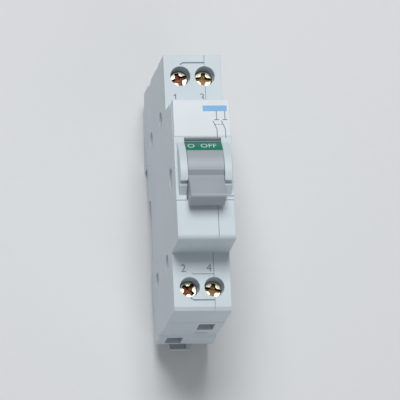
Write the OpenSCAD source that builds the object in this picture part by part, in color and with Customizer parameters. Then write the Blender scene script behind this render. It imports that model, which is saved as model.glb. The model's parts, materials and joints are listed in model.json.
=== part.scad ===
// Two-pole switch disconnector, one module wide, for a 35 mm top-hat rail.
// X runs across the module, Y runs up towards the top terminals and Z comes out of the front.
// The origin is the middle of the rail seat, on the front plane of the rail's flanges.

/* [Housing] */
// Width of the module
body_w = 17.8; // [17.4:0.1:18.2]
// Length of the housing from end wall to end wall
body_len = 81.3; // [80:0.1:84]
// Height of the terminal faces above the rail
face_z = 44; // [43:0.5:46]
// Height of the nose above the rail
nose_z = 58.3; // [57:0.1:60]
// Reach of the nose from the rail's middle towards the top
nose_top = 22.9; // [22.4:0.1:23]
// Reach of the nose from the rail's middle towards the bottom
nose_bottom = 22.3; // [22:0.1:22.6]
// Lean of each nose wall from foot to front
nose_draft = 0.4; // [0.2:0.1:0.8]
// Rounding of the nose's lower front edge
nose_round = 1.5; // [0.8:0.1:1.8]
// Rounding of the label cap's upper edge
cap_round = 0.4; // [0.3:0.1:0.8]
// Thickness of the side walls
wall = 1.3; // [1.1:0.1:1.5]
// Thickness of the end walls
end_wall = 1.9; // [1.7:0.1:2.2]
// Width of the right-hand cover, up to the joint line
cover_w = 5.1; // [4.8:0.1:5.3]
// Depth of the steps that run across the end walls
end_step = 0.7; // [0.3:0.1:0.9]
// Length of the chamfer between the lower terminal face and its end wall
end_chamfer = 1.15; // [0.6:0.05:1.6]

/* [Rail seat] */
// Width of the rail over its flanges
rail_w = 35; // [35:0.1:35.2]
// Thickness of the rail's flange
rail_t = 1; // [0.9:0.1:1.1]
// Distance that the hook and the clip reach behind the flange
rail_grip = 1; // [0.8:0.1:1.2]
// Depth of the hook behind the front plane of the flange
hook_depth = 6.2; // [5.8:0.1:6.5]
// Depth of the hollow in the back between the two rail pads
back_hollow = 4.8; // [4.4:0.1:5]

/* [Terminals] */
// Distance of the top screws from their end wall
screw_top_in = 6.75; // [6.5:0.05:7.2]
// Distance of the bottom screws from their end wall
screw_bottom_in = 7.45; // [7:0.05:7.6]
// Web between the two screwdriver access holes of an end
access_web = 1.4; // [1.2:0.1:1.5]
// Gap round a screw head, seen down its access hole
head_gap = 0.3; // [0.2:0.05:0.4]
// Height of a screw head
head_h = 2.2; // [2:0.1:2.4]
// Free depth of an access hole above the screw head
access_depth = 4; // [3.5:0.1:4.5]
// Step from a screw's head in to its shank
head_step = 0.8; // [0.7:0.05:0.9]
// Wall beside a wire entry, from the pole's middle room
entry_side = 1.3; // [1.2:0.05:1.4]
// Height of a wire entry
entry_h = 7; // [6.6:0.1:7.2]
// Height of the deep wire entries above the rail
deep_entry_z = 2.2; // [2:0.1:2.4]
// Height of the shallow wire entries above the rail
shallow_entry_z = 19.3; // [19:0.1:19.6]
// Play of a cage in its room, on each side
cage_side = 0.7; // [0.65:0.05:0.8]
// Length of a cage along the module
cage_len = 7.2; // [6.8:0.1:7.4]
// Thickness of a cage's sides and bottom
cage_t = 0.8; // [0.7:0.1:0.9]
// Thickness of a cage's threaded top
cage_top_t = 2.2; // [2:0.1:2.4]

/* [Contacts] */
// Thickness of the copper strips
strip_t = 1.5; // [1.3:0.1:1.6]
// Room beside the copper strips, on each side
strip_side = 1.7; // [1.6:0.05:1.8]
// Height of the fixed contacts' upper face above the rail
contact_z = 24; // [23.5:0.1:24.5]
// Distance of each contact button from the middle
button_y = 6.4; // [6.2:0.1:6.8]
// Diameter of a contact button
button_d = 3; // [2.6:0.1:3.2]
// Height of a contact button
button_h = 0.8; // [0.6:0.1:0.9]
// Thickness of the moving bridges
bridge_t = 1.4; // [1.2:0.1:1.5]
// Give of the contact springs once the contacts have met
contact_wipe = 0.6; // [0.4:0.1:0.7]

/* [Toggle] */
// Height of the toggle's axis above the rail
toggle_z = 52.4; // [52.2:0.1:52.6]
// Radius of the toggle's barrel
barrel_r = 10.7; // [10.6:0.05:10.8]
// Wall between the toggle's barrel and the side of the module
barrel_side = 3.3; // [3.3:0.05:3.4]
// Wall of the toggle's barrel
barrel_wall = 1.4; // [1.2:0.1:1.5]
// Angle of the toggle between off and on
toggle_travel = 82; // [80:1:84]
// Reach of the lever's tip from the axis
lever_reach = 17; // [16.5:0.1:17.2]
// Radius of the toggle's crank
crank_r = 4.6; // [4.5:0.05:4.7]
// Diameter of the crank's drive pin
drive_pin_d = 1.6; // [1.5:0.1:1.7]
// Diameter of the toggle's pivot pin
pivot_d = 2; // [1.9:0.1:2]

/* [Rail clip] */
// Width of the clip's slide
clip_w = 7.6; // [7.2:0.1:8]
// Thickness of the clip's slide
clip_t = 2.4; // [2.2:0.1:2.6]
// Travel of the clip
clip_travel = 5; // [4:0.5:5]
// Reach of the clip's tab past the end wall
clip_tab = 1.6; // [1.2:0.1:2]

/* [Hidden] */

smooth = 48;
coarse = 24;
finest = 96;
over_nose = 20;
eps = 0.02;
gap = 0.3;
fit_gap = 0.05;
half_w = body_w / 2;
half_len = body_len / 2;
half_rail = rail_w / 2;
split_x = half_w - cover_w;
room_w = half_w - wall;

// Inner rooms
face_block = 7.5;
room_top_z = face_z - face_block;
room_len = 15.65;
partition_t = 4.5;
partition_out = half_len - room_len;
partition_in = partition_out - partition_t;
room_out = half_len - end_wall;
chamber_z0 = 7;
deep_floor_z = 1.1;
nose_wall = 1.4;

// Widths and places that follow the width and the length of the module
screw_x = room_w / 2;
screw_top_y = half_len - screw_top_in;
screw_bottom_y = half_len - screw_bottom_in;
access_d = 2 * screw_x - access_web;
head_d = access_d - 2 * head_gap;
shank_d = head_d - 2 * head_step;
entry_w = room_w - 2 * entry_side;
cage_w = room_w - 2 * cage_side;
strip_w = room_w - 2 * strip_side;
barrel_w = body_w - 2 * barrel_side;

// Steps across the end walls: height of each edge above the rail
foot_edge_z = 1.2;
low_step_z = [9.4, 10.4, 14.6, 16];
high_step_z = [27.6, 28.2, 32.8, 33.6];
high_step = 0.4 * end_step;
chamfer_h = 0.6;
hook_round = 1.2;
back_slope = 1.6;
back_from = -13.2;
back_to = 6;

// Flutes under the lower right wire entry
flutes = 5;
flute_w = 0.35;
flute_pitch = 0.85;
flute_depth = 0.3;
flute_z = [11.6, 16.6];

// Joint line between the two shells, and the lines engraved on the front
joint_w = 0.16;
joint_depth = 0.35;
groove_w = 0.45;
groove_depth = 0.5;
groove_from = -2.8;
groove_tail = 1.1;
groove_in_top = 4.2;
groove_in_bottom = 4.15;
groove_turn_top = 212;
groove_turn_bottom = 142;

// Screws, cages and strips
access_end_z = face_z - access_depth;
head_drop = 0.15;
head_top_z = access_end_z - head_drop;
head_z = head_top_z - head_h;
strip_gap = 0.25;
head_room = 0.1;
deep_strip_z = deep_entry_z + entry_h + strip_gap;
shallow_strip_z = shallow_entry_z + entry_h + strip_gap;
cage_play = 0.4;
cage_drop = 0.1;
tip_play = 0.15;
strip_end = button_y - 2.4;
riser_y = partition_out + 1.2;
step_y = partition_in - 2.3;
lug_end = screw_top_y + cage_len / 2 - 0.6;

// Recess of a screw head: widths as shares of the head's, and depths
slot_share = 0.17;
slot_depth = 0.9;
cross_share = 0.23;
cross_reach = 0.76;
cross_depth = 1.3;
middle_share = 0.46;
middle_depth = 1.5;
screw_turns = [20, 48, -4, -10];

// Toggle, carrier and bridges
carrier_travel = 2 * crank_r * sin(toggle_travel / 2);
drive_z = toggle_z + crank_r * sin(toggle_travel / 2);
drive_y = crank_r * cos(toggle_travel / 2);
bridge_close = carrier_travel - contact_wipe;
meeting_gap = 0.05;
bridge_z = contact_z + 2 * button_h + meeting_gap + bridge_close;
bridge_len = 2 * button_y + button_d + 1;
carrier_half_y = 3.2;
carrier_bar = 1.5;
carrier_play = 0.15;
spring_room = 6.4;
contact_spring_side = 0.3;
contact_spring_turns = 4.5;
contact_wire_d = 0.5;
carrier_top_z = bridge_z + bridge_t + spring_room;
cross_t = 2.4;
chamber_z1 = carrier_top_z + cross_t + gap;
arm_w = barrel_w / 4;
arm_t = 1.2;
arm_y = pivot_d / 2 + 0.25;
prong_t = 0.9;
prong_play = 0.2;
prong_over = 0.4;
barrier_t = 0.8;
barrier_play_y = 0.5;
barrier_play_low = 0.1;
barrier_play_top = 0.2;
web_t = 1.2;
flag_t = 0.5;
flag_span = 27;
flag_off_from = 30;
flag_on_from = -flag_off_from - flag_span - toggle_travel;
window_play = 0.3;
lever_play = 0.15;
notch_from = 6.5;
notch_to = 15.5;
notch_depth = 0.83;
lever_lean = 35;
tip_lean = 36.4;
tip_span = 2;
lever_edge_drop = 0.5;
back_lean = [54.6, 55, 53];
back_drop = [2.4, 3.4];
notch_rise = 0.3;
hub_wall = 1.3;
web_foot = 3;
web_lap = 0.2;
window_w = barrel_w / 2 + 0.1;
window_top_y = 9.8;
window_lip = 0.5;
window_lip_h = 1;
barrel_from = -145;
barrel_to = 78;

// Cheeks beside the toggle: a round back, a flat shelf and a slope down to the front
cheek_w = 2.3;
cheek_r = 12.2;
cheek_y = -1.1;
cheek_z = toggle_z - 1.4;
cheek_end = -4.4;
shelf_z = nose_z + 2.6;
shelf_end = -5.6;
slope_end = -7.9;
frame_y = -9.5;
frame_notch_y = -8.3;
frame_notch_from = 6.4;

// Rivets: their places on the side, along the module and above the rail
rivet_d = 2.4;
rivet_head_d = 3.6;
rivet_head_h = 0.4;
rivet_pocket_d = 5.4;
rivet_pocket = 1.1;
rivet_boss_d = 7.6;
rivet_boss = 1;
rivet_y = partition_out - partition_t / 2;
rivet_at = [[rivet_y, 32.6], [rivet_y - 0.5, 11.6], [-rivet_y - 0.2, 33], [-rivet_y - 0.2, 11.2]];

// Dimples over the pivot
dimple_d = 6.4;
dimple = 0.6;
dimple_drop = 4;

// Label cap over the upper part of the nose
cap_t = 1.2;
cap_from = 10.7;
cap_skirt = 6.5;
cap_side = 2.5;
cap_side_t = 0.9;
cap_inset = 0.2;
cap_end = nose_top - nose_draft;

// Rail clip
clip_x = -1;
clip_play = 0.12;
clip_wing = 0.7;
clip_wing_t = 1.1;
clip_lip = 0.9;
clip_rail = 1.2;
clip_tab_t = 1.3;
jaw_len = 6;
jaw_lip = 0.8;
jaw_slope = 2.8;
jaw_back = 2.2;
rail_play = 0.2;
flange_play = 0.15;
tab_in = 1.4;
tab_straight = 0.1;
tab_taper = 0.9;
rail_from = -half_rail - 1.4;
rail_to = -half_len + 1.6;
clip_window_w = 3.2;
clip_window_top = -half_rail - 2.6;
clip_window_end = -half_len + 7.15;
spring_stop_w = 2.8;
spring_stop_t = 1.4;
spring_stop_cut = 0.2;
spring_stop_y = clip_window_end + clip_travel - 2.6;
clip_spring_d = 2;
clip_spring_turns = 8;
clip_wire_d = 0.35;

// Points of an arc about [cy, cz], from angle a0 to angle a1
function arc(cy, cz, r, a0, a1, n = 6) =
    [for (i = [0:n]) let (a = a0 + (a1 - a0) * i / n) [cy + r * cos(a), cz + r * sin(a)]];

// Points at radius r about the toggle's axis, by angle from the front towards the top end
function round_axis(r, a0, a1, n) =
    [for (i = [0:n]) let (a = a0 + (a1 - a0) * i / n) [r * sin(a), toggle_z + r * cos(a)]];

// Draws a side outline, in Y and Z, and makes it thick along X from x0 to x1
module side(x0, x1) {
    translate([x0, 0, 0])
        rotate([90, 0, 90])
            linear_extrude(height = x1 - x0)
                children();
}

// Round bar along X
module bar_x(d, x0, x1, y, z, fn = smooth) {
    translate([x0, y, z])
        rotate([0, 90, 0])
            cylinder(d = d, h = x1 - x0, $fn = fn);
}

// Block between two corners
module block(lo, hi) {
    translate(lo)
        cube(hi - lo);
}

// Ring of points of radius r about p, square to the direction t
function ring(p, t, r, n) =
    let (s = abs(t[0]) > 0.8 ? [0, 1, 0] : [1, 0, 0],
         a = cross(t, s) / norm(cross(t, s)),
         b = cross(t, a) / norm(t))
    [for (k = [0:n - 1]) p + r * (cos(360 * k / n) * a + sin(360 * k / n) * b)];

// Wire of radius r swept along the points of a path
module wire(path, r, n = 6) {
    last = len(path) - 1;
    rings = [
        for (i = [0:last])
            let (t = path[min(i + 1, last)] - path[max(i - 1, 0)])
            ring(path[i], t / norm(t), r, n)
    ];
    polyhedron(
        points = [for (q = rings) for (p = q) p],
        faces = concat(
            [[for (k = [n - 1:-1:0]) k]],
            [for (i = [0:last - 1]) for (k = [0:n - 1]) for (half = [0, 1])
                let (a = i * n + k,
                     b = i * n + (k + 1) % n)
                half == 0 ? [a, b, b + n] : [a, b + n, a + n]],
            [[for (k = [0:n - 1]) last * n + k]]
        ),
        convexity = 4
    );
}

// Compression spring along +Z from the origin, with closed ends
module coil(d, length, turns, wire_d) {
    per_turn = 14;
    steps = round(turns * per_turn);
    r = (d - wire_d) / 2;
    rise = length - wire_d;
    closed = 0.75 / turns;
    path = [
        for (i = [0:steps])
            let (s = i / steps,
                 u = min(max((s - closed) / (1 - 2 * closed), 0), 1),
                 z = wire_d / 2 + wire_d * min(s / closed, 1) * 0.5
                     + (rise - wire_d) * u
                     + wire_d * max((s - 1 + closed) / closed, 0) * 0.5)
            [r * cos(360 * i / per_turn), r * sin(360 * i / per_turn), z]
    ];
    wire(path, wire_d / 2);
}

// Points down one end wall, from its front edge to its foot: distance from the rail, and height
function end_points(front) =
    let (z = low_step_z, h = high_step_z)
    concat(front, [
        [half_len, h[3]],
        [half_len - high_step, h[2]],
        [half_len - high_step, h[1]],
        [half_len, h[0]],
        [half_len, z[3]],
        [half_len - end_step, z[2]],
        [half_len - end_step, z[1]],
        [half_len, z[0]],
        [half_len, foot_edge_z],
        [half_len - foot_edge_z / 3, 0]
    ]);

// The same points turned round, for the lower end
function lower_end(points) = [for (i = [len(points) - 1:-1:0]) [-points[i][0], points[i][1]]];

// Outline of the whole housing, seen from the side
module housing_outline() {
    lip_y = half_rail - rail_grip;
    slot_y = half_rail + clip_play;
    slot_z = -rail_t - clip_play;
    low_edge = -nose_bottom + nose_draft + nose_round;
    polygon(concat(
        lower_end(end_points([[half_len - end_chamfer, face_z], [half_len, face_z - chamfer_h]])),
        [[-nose_bottom, face_z]],
        arc(low_edge, nose_z - nose_round, nose_round, 180, 90),
        arc(cap_end - cap_round, nose_z - cap_round, cap_round, 90, 0),
        [[nose_top, face_z]],
        end_points([[half_len, face_z]]),
        arc(lip_y + hook_round, -hook_depth + hook_round, hook_round, 270, 180, 4),
        [[lip_y, slot_z],
         [slot_y, slot_z],
         [slot_y, 0],
         [back_to, 0],
         [back_to - back_slope, back_hollow],
         [back_from, back_hollow],
         [back_from - back_slope / 2, 0]]
    ));
}

// Rib that stands beside the toggle's window and shields the lever
module cheek_outline() {
    root_z = nose_z - 1;
    top_z = cheek_z + cheek_r + 1;
    back_y = cheek_y + cheek_r - 2;
    intersection() {
        polygon([
            [slope_end, root_z],
            [slope_end, nose_z],
            [shelf_end, shelf_z],
            [cheek_end, shelf_z],
            [cheek_end, top_z],
            [back_y, top_z],
            [back_y, root_z]
        ]);
        translate([cheek_y, cheek_z])
            circle(r = cheek_r, $fn = finest);
    }
}

// Outer form of the housing with its cheeks, before it is split in two
module housing_form() {
    side(-half_w, half_w)
        housing_outline();
    for (s = [-1, 1])
        translate([s * (window_w + cheek_w / 2), 0, 0])
            side(-cheek_w / 2, cheek_w / 2)
                cheek_outline();
    clip_rails();
}

// Access hole, wider room round the head, and guide of one terminal screw
module screw_way(x, y) {
    translate([x, y, access_end_z])
        cylinder(d = access_d, h = access_depth + 1, $fn = smooth);
    translate([x, y, head_z - gap])
        cylinder(d = head_d + 2 * head_room, h = access_end_z - head_z + gap + eps, $fn = smooth);
    translate([x, y, room_top_z - 1])
        cylinder(d = shank_d + 0.5, h = head_z - room_top_z + 2, $fn = smooth);
}

// Thin groove on a terminal face that marks the pole
module face_groove(s) {
    y = s > 0 ? screw_top_y + groove_in_top : -screw_bottom_y - groove_in_bottom;
    floor_z = face_z - groove_depth;
    block([groove_from, y - groove_w / 2, floor_z],
          [split_x - joint_w / 2, y + groove_w / 2, face_z + 1]);
    translate([groove_from, y, floor_z])
        rotate(s > 0 ? groove_turn_top : groove_turn_bottom)
            translate([0, -groove_w / 2, 0])
                cube([groove_tail, groove_w, groove_depth + 1]);
}

// Fine line along the front where the two shells meet, and the lines engraved beside it
module joint_lines() {
    floor_z = face_z - joint_depth;
    lower_line = -screw_bottom_y + access_d / 2 + 1;
    nose_floor = nose_z - joint_depth;
    for (s = [-1, 1])
        block([split_x - joint_w / 2, s > 0 ? nose_top - 1 : -half_len - 1, floor_z],
              [split_x + joint_w / 2, s > 0 ? half_len + 1 : -nose_bottom + 1, face_z + eps]);
    block([split_x - joint_w / 2, -nose_bottom - 1, nose_floor],
          [split_x + joint_w / 2, frame_y, nose_z + 1]);
    block([groove_from, lower_line - joint_w / 2, floor_z],
          [split_x, lower_line + joint_w / 2, face_z + 1]);
    // Frame of the window: a line across the nose, and a notch at its right end
    for (side_x = [-1, 1])
        block([side_x > 0 ? window_w : -half_w - 1, frame_y - joint_w / 2, nose_floor],
              [side_x > 0 ? half_w + 1 : -window_w, frame_y + joint_w / 2, nose_z + 1]);
    block([frame_notch_from, frame_notch_y - joint_w, nose_floor],
          [half_w + 1, frame_notch_y + joint_w, nose_z + 1]);
}

// Small upright flutes under the lower right wire entry
module entry_flutes() {
    for (i = [0:flutes - 1])
        translate([screw_x + (i - (flutes - 1) / 2) * flute_pitch - flute_w / 2, 0, 0])
            block([0, -half_len - 1, flute_z[0]],
                  [flute_w, -half_len + end_step + flute_depth, flute_z[1]]);
}

// Terminal rooms of one end, deep on the left pole and shallow on the right one
module terminal_rooms(s) {
    shallow_floor_z = shallow_entry_z - cage_t - cage_play - gap;
    y0 = s > 0 ? partition_out : -room_out;
    y1 = s > 0 ? room_out : -partition_out;
    block([-room_w, y0, deep_floor_z], [0, y1, room_top_z]);
    block([-eps, y0, shallow_floor_z], [room_w, y1, room_top_z]);
}

// Wire entries through one end wall, and the strips' slots through its partition
module terminal_passages(s) {
    y0 = s > 0 ? room_out - 1 : -half_len - 1;
    y1 = s > 0 ? partition_in - 1 : -partition_out - 1;
    slot_w = strip_w + 2 * fit_gap;
    slot_t = strip_t + 2 * fit_gap;
    translate([-screw_x - entry_w / 2, y0, deep_entry_z])
        cube([entry_w, end_wall + 2, entry_h]);
    translate([screw_x - entry_w / 2, y0, shallow_entry_z])
        cube([entry_w, end_wall + 2, entry_h]);
    translate([-screw_x - slot_w / 2, y1, contact_z - strip_t - fit_gap])
        cube([slot_w, partition_t + 2, slot_t]);
    translate([screw_x - slot_w / 2, y1, shallow_strip_z - fit_gap])
        cube([slot_w, partition_t + 2, slot_t]);
}

// Bosses on the side walls that back the rivets' pockets
module rivet_bosses() {
    for (p = rivet_at) {
        bar_x(rivet_boss_d, -half_w, -room_w + rivet_boss, p[0], p[1]);
        bar_x(rivet_boss_d, room_w - rivet_boss, half_w, p[0], p[1]);
    }
}

// Room of the toggle, the window that it shows through and the lip of that window
module toggle_room() {
    bar_x(2 * (barrel_r + window_play), -window_w, window_w, 0, toggle_z, finest);
    block([-window_w, 0, nose_z - nose_wall], [window_w, window_top_y, nose_z + 1]);
    side(-window_w, window_w)
        polygon([
            [0, nose_z - window_lip_h],
            [window_top_y, nose_z - window_lip_h],
            [window_top_y + window_lip, nose_z],
            [window_top_y + window_lip, nose_z + 1],
            [0, nose_z + 1]
        ]);
    block([-window_w, -carrier_half_y - gap, chamber_z1 - 1],
          [window_w, carrier_half_y + gap, toggle_z]);
    bar_x(pivot_d + 2 * fit_gap, -room_w, room_w, 0, toggle_z);
}

// All hollows of the housing that both shells share
module hollows() {
    difference() {
        union() {
            for (s = [-1, 1])
                terminal_rooms(s);
            block([-room_w, -partition_in, chamber_z0], [room_w, partition_in, chamber_z1]);
        }
        rivet_bosses();
    }
    for (s = [-1, 1]) {
        terminal_passages(s);
        face_groove(s);
        screw_way(-screw_x, s > 0 ? screw_top_y : -screw_bottom_y);
        screw_way(screw_x, s > 0 ? screw_top_y : -screw_bottom_y);
    }
    entry_flutes();
    joint_lines();
    // Slot that holds the pole barrier in the partitions
    block([-barrier_t / 2 - fit_gap, -partition_out - 1, chamber_z0],
          [barrier_t / 2 + fit_gap, partition_out + 1, room_top_z]);
    toggle_room();
    for (p = rivet_at) {
        bar_x(rivet_d + 2 * fit_gap, -half_w - 1, half_w + 1, p[0], p[1]);
        bar_x(rivet_pocket_d, -half_w - 1, -half_w + rivet_pocket, p[0], p[1]);
        bar_x(rivet_pocket_d, half_w - rivet_pocket, half_w + 1, p[0], p[1]);
    }
    // Dimples over the pivot, in both side walls
    bar_x(dimple_d, -half_w - 1, -half_w + dimple, 0, toggle_z - dimple_drop);
    bar_x(dimple_d, half_w - dimple, half_w + 1, 0, toggle_z - dimple_drop);
    label_seat();
}

// Recess that the label cap clips into
module label_seat() {
    side_x = half_w - cap_inset - cap_side_t - fit_gap;
    block([-half_w - 1, cap_from - fit_gap, nose_z - cap_t - fit_gap],
          [half_w + 1, nose_top + 1, nose_z + 1]);
    block([-half_w - 1, cap_end - cap_t - fit_gap, nose_z - cap_skirt - fit_gap],
          [half_w + 1, nose_top + 1, nose_z + 1]);
    for (m = [0, 1])
        mirror([m, 0, 0])
            block([side_x, cap_from - fit_gap, nose_z - cap_side],
                  [half_w + 1, nose_top + 1, nose_z + 1]);
}

// Two lipped rails on the lower foot's back that guide the clip, and the stop of its spring
module clip_rails() {
    half = clip_w / 2;
    for (m = [0, 1])
        translate([clip_x, 0, 0])
            mirror([m, 0, 0]) {
                block([half + clip_wing + clip_play, rail_to, -clip_wing_t - clip_play - clip_lip],
                      [half + clip_wing + clip_play + clip_rail, rail_from, eps]);
                block([half + clip_play, rail_to, -clip_wing_t - clip_play - clip_lip],
                      [half + clip_wing + clip_play + eps, rail_from, -clip_wing_t - 2 * clip_play]);
            }
    block([clip_x - spring_stop_w / 2, spring_stop_y - spring_stop_t, -clip_t + spring_stop_cut],
          [clip_x + spring_stop_w / 2, spring_stop_y, eps]);
}

// Left shell: the deep half of the housing
module housing_left() {
    color("gainsboro")
        difference() {
            intersection() {
                housing_form();
                block([-half_w - 1, -half_len - 1, -hook_depth - 1],
                      [split_x, half_len + 1, nose_z + over_nose]);
            }
            hollows();
        }
}

// Right shell: the cover that closes the left one
module housing_right() {
    color("gainsboro")
        difference() {
            intersection() {
                housing_form();
                block([split_x, -half_len - 1, -hook_depth - 1],
                      [half_w + 1, half_len + 1, nose_z + over_nose]);
            }
            hollows();
        }
}

// White cap on the nose that carries the markings, with skirts down its end and its sides
module label_cap() {
    side_x = half_w - cap_inset;
    color("whitesmoke")
        difference() {
            union() {
                side(-side_x, side_x)
                    polygon(concat(
                        [[cap_from, nose_z - cap_t],
                         [cap_from, nose_z]],
                        arc(cap_end - cap_round, nose_z - cap_round, cap_round, 90, 0),
                        [[cap_end, nose_z - cap_skirt],
                         [cap_end - cap_t, nose_z - cap_skirt],
                         [cap_end - cap_t, nose_z - cap_t]]
                    ));
                for (m = [0, 1])
                    mirror([m, 0, 0])
                        block([side_x - cap_side_t, cap_from, nose_z - cap_side + fit_gap],
                              [side_x, cap_end - cap_t + eps, nose_z - cap_t + eps]);
            }
            // Clears the barrel's swept round
            bar_x(2 * (barrel_r + window_play), -window_w, window_w, 0, toggle_z, finest);
        }
}

// Rivets that hold the two shells together
module rivets() {
    color("silver")
        for (p = rivet_at) {
            bar_x(rivet_d, -half_w + rivet_pocket, half_w - rivet_pocket, p[0], p[1], coarse);
            for (s = [-1, 1])
                translate([s * (half_w - rivet_pocket), p[0], p[1]])
                    rotate([0, s * 90, 0])
                        cylinder(d1 = rivet_head_d, d2 = rivet_d, h = rivet_head_h, $fn = coarse);
        }
}

// Insulating wall between the two poles
module pole_barrier() {
    clear_y = carrier_half_y + gap;
    low_z = carrier_top_z - carrier_travel - gap;
    color("dimgray")
        side(-barrier_t / 2, barrier_t / 2)
            difference() {
                polygon([
                    [-partition_out + barrier_play_y, chamber_z0 + barrier_play_low],
                    [partition_out - barrier_play_y, chamber_z0 + barrier_play_low],
                    [partition_out - barrier_play_y, room_top_z - barrier_play_top],
                    [clear_y, room_top_z - barrier_play_top],
                    [clear_y, low_z],
                    [-clear_y, low_z],
                    [-clear_y, room_top_z - barrier_play_top],
                    [-partition_out + barrier_play_y, room_top_z - barrier_play_top]
                ]);
                for (p = rivet_at)
                    translate(p)
                        circle(d = rivet_d + 2 * fit_gap, $fn = smooth);
            }
}

// Point at a reach from the toggle's axis, by its lean towards the bottom terminals
function lean(reach, angle) = [-reach * sin(angle), toggle_z + reach * cos(angle)];

// Foot of the lever's front face, at the bottom of the notch
lever_foot = lean(barrel_r - notch_depth, notch_to);

// Front edge of the lever's tip
lever_edge = lean(lever_reach - lever_edge_drop, lever_lean);

// Outline of the notch between the barrel's skin and the lever's front face
module lever_notch() {
    rim = lean(barrel_r, notch_from);
    rise = rim + notch_rise * (rim - lever_foot);
    polygon([
        rise,
        lever_foot,
        lever_edge
    ]);
}

// Outline of the lever: it stands behind the notch and leans towards the bottom
module lever_outline() {
    root = barrel_r - barrel_wall / 2;
    polygon([
        lean(root - notch_depth / 2, notch_to),
        lever_foot,
        lever_edge,
        lean(lever_reach, tip_lean),
        lean(lever_reach, tip_lean + tip_span),
        lean(lever_reach - back_drop[0], back_lean[0]),
        lean(lever_reach - back_drop[1], back_lean[1]),
        lean(root, back_lean[2]),
        lean(root, lever_lean)
    ]);
}

// Toggle: a hollow barrel on two webs, with the lever and the crank moulded on
module toggle() {
    half = barrel_w / 2;
    inner = barrel_r - barrel_wall;
    hub_d = pivot_d + 2 * hub_wall;
    hub_in = arm_w / 2 + gap;
    color("darkgray")
        difference() {
            union() {
                side(-half, half)
                    difference() {
                        polygon(concat(
                            round_axis(barrel_r, barrel_from, barrel_to, smooth),
                            round_axis(inner, barrel_to, barrel_from, 40)
                        ));
                        for (a = [flag_off_from, flag_on_from])
                            polygon(flag_points(a, barrel_r + 1));
                        lever_notch();
                    }
                side(-half + lever_play, half - lever_play)
                    lever_outline();
                // Webs, cut back where the carrier's arm passes
                for (s = [-1, 1])
                    translate([s * (half - web_t / 2), 0, 0])
                        side(-web_t / 2, web_t / 2)
                            polygon(concat(
                                round_axis(inner + web_lap, barrel_from, barrel_to, coarse),
                                [[web_foot, toggle_z - web_foot], [-web_foot, toggle_z - web_foot]]
                            ));
                // Hubs round the pivot pin
                for (s = [-1, 1])
                    bar_x(hub_d, s > 0 ? hub_in : -half, s > 0 ? half : -hub_in, 0, toggle_z);
            }
            bar_x(pivot_d + 2 * fit_gap, -half - 1, half + 1, 0, toggle_z);
            bar_x(drive_pin_d, -half - 1, half + 1, drive_y, drive_z, coarse);
        }
}

// Cut or filled outline of a flag, by its first angle and outer radius
function flag_points(a, outer) =
    concat(
        round_axis(outer, a, a + flag_span, 10),
        round_axis(barrel_r - flag_t, a + flag_span, a, 10)
    );

// Curved insert in the barrel's skin
module flag(a) {
    half = barrel_w / 2;
    side(-half, half)
        polygon(flag_points(a, barrel_r));
}

module flag_off() {
    color("seagreen")
        flag(flag_off_from);
}

module flag_on() {
    color("firebrick")
        flag(flag_on_from);
}

// Steel pin that the toggle turns on
module pivot_pin() {
    color("silver")
        bar_x(pivot_d, -room_w, room_w, 0, toggle_z, smooth);
}

// Steel pin of the crank, which drives the carrier
module drive_pin() {
    half = barrel_w / 2;
    color("silver")
        bar_x(drive_pin_d, -half, half, drive_y, drive_z, coarse);
}

// Spring round the left hub that throws the toggle over its middle
module toggle_spring() {
    wire_d = 0.5;
    coil_play = 1.9;
    arm_room = 0.8;
    foot_in = 0.2;
    foot_rise = 1.2;
    pin_gap = 0.1;
    r = pivot_d / 2 + coil_play;
    x0 = -barrel_w / 2 + web_t + wire_d;
    turns = 2.25;
    pitch = (-x0 - arm_w / 2 - arm_room) / turns;
    n = 36;
    path = concat(
        [[x0, -carrier_half_y + foot_in, chamber_z1 + foot_rise],
         [x0, -r, toggle_z - 1]],
        [for (i = [0:n])
            let (a = 180 - 360 * turns * i / n)
            [x0 + pitch * turns * i / n, r * cos(a), toggle_z + r * sin(a)]],
        [[x0 + pitch * turns, drive_y - drive_pin_d / 2 - pin_gap, toggle_z + r]]
    );
    color("lightsteelblue")
        wire(path, wire_d / 2);
}

// Slide that carries both moving contacts, with the fork that the crank works
module contact_carrier() {
    seat_z = bridge_z - carrier_bar;
    inner_x = barrier_t / 2 + gap;
    outer_x = room_w - gap;
    play = carrier_play;
    slot_hi = drive_z + drive_pin_d / 2 + prong_play;
    slot_lo = drive_z - drive_pin_d / 2 - prong_play;
    prong_y = crank_r + prong_over;
    color("slategray")
        difference() {
            union() {
                for (s = [-1, 1])
                    block([s > 0 ? inner_x : -outer_x, -carrier_half_y, seat_z],
                          [s > 0 ? outer_x : -inner_x, carrier_half_y, carrier_top_z + cross_t]);
                block([-outer_x, -carrier_half_y, carrier_top_z],
                      [outer_x, carrier_half_y, carrier_top_z + cross_t]);
                // Arm and its two prongs
                side(-arm_w / 2, arm_w / 2)
                    polygon([
                        [arm_y, carrier_top_z],
                        [arm_y, slot_hi + prong_t],
                        [prong_y, slot_hi + prong_t],
                        [prong_y, slot_hi],
                        [arm_y + arm_t, slot_hi],
                        [arm_y + arm_t, slot_lo],
                        [prong_y, slot_lo],
                        [prong_y, slot_lo - prong_t],
                        [arm_y + arm_t, slot_lo - prong_t],
                        [arm_y + arm_t, carrier_top_z]
                    ]);
            }
            // Windows for the bridges and their springs
            for (s = [-1, 1])
                block([s * screw_x - strip_w / 2 - play, -carrier_half_y - 1, bridge_z],
                      [s * screw_x + strip_w / 2 + play, carrier_half_y + 1, carrier_top_z]);
        }
}

// Copper bridge with a silver button at each end
module moving_contact(x) {
    color("peru")
        union() {
            block([x - strip_w / 2, -bridge_len / 2, bridge_z],
                  [x + strip_w / 2, bridge_len / 2, bridge_z + bridge_t]);
            for (s = [-1, 1])
                translate([x, s * button_y, bridge_z - button_h])
                    cylinder(d = button_d, h = button_h + eps, $fn = coarse);
        }
}

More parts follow.
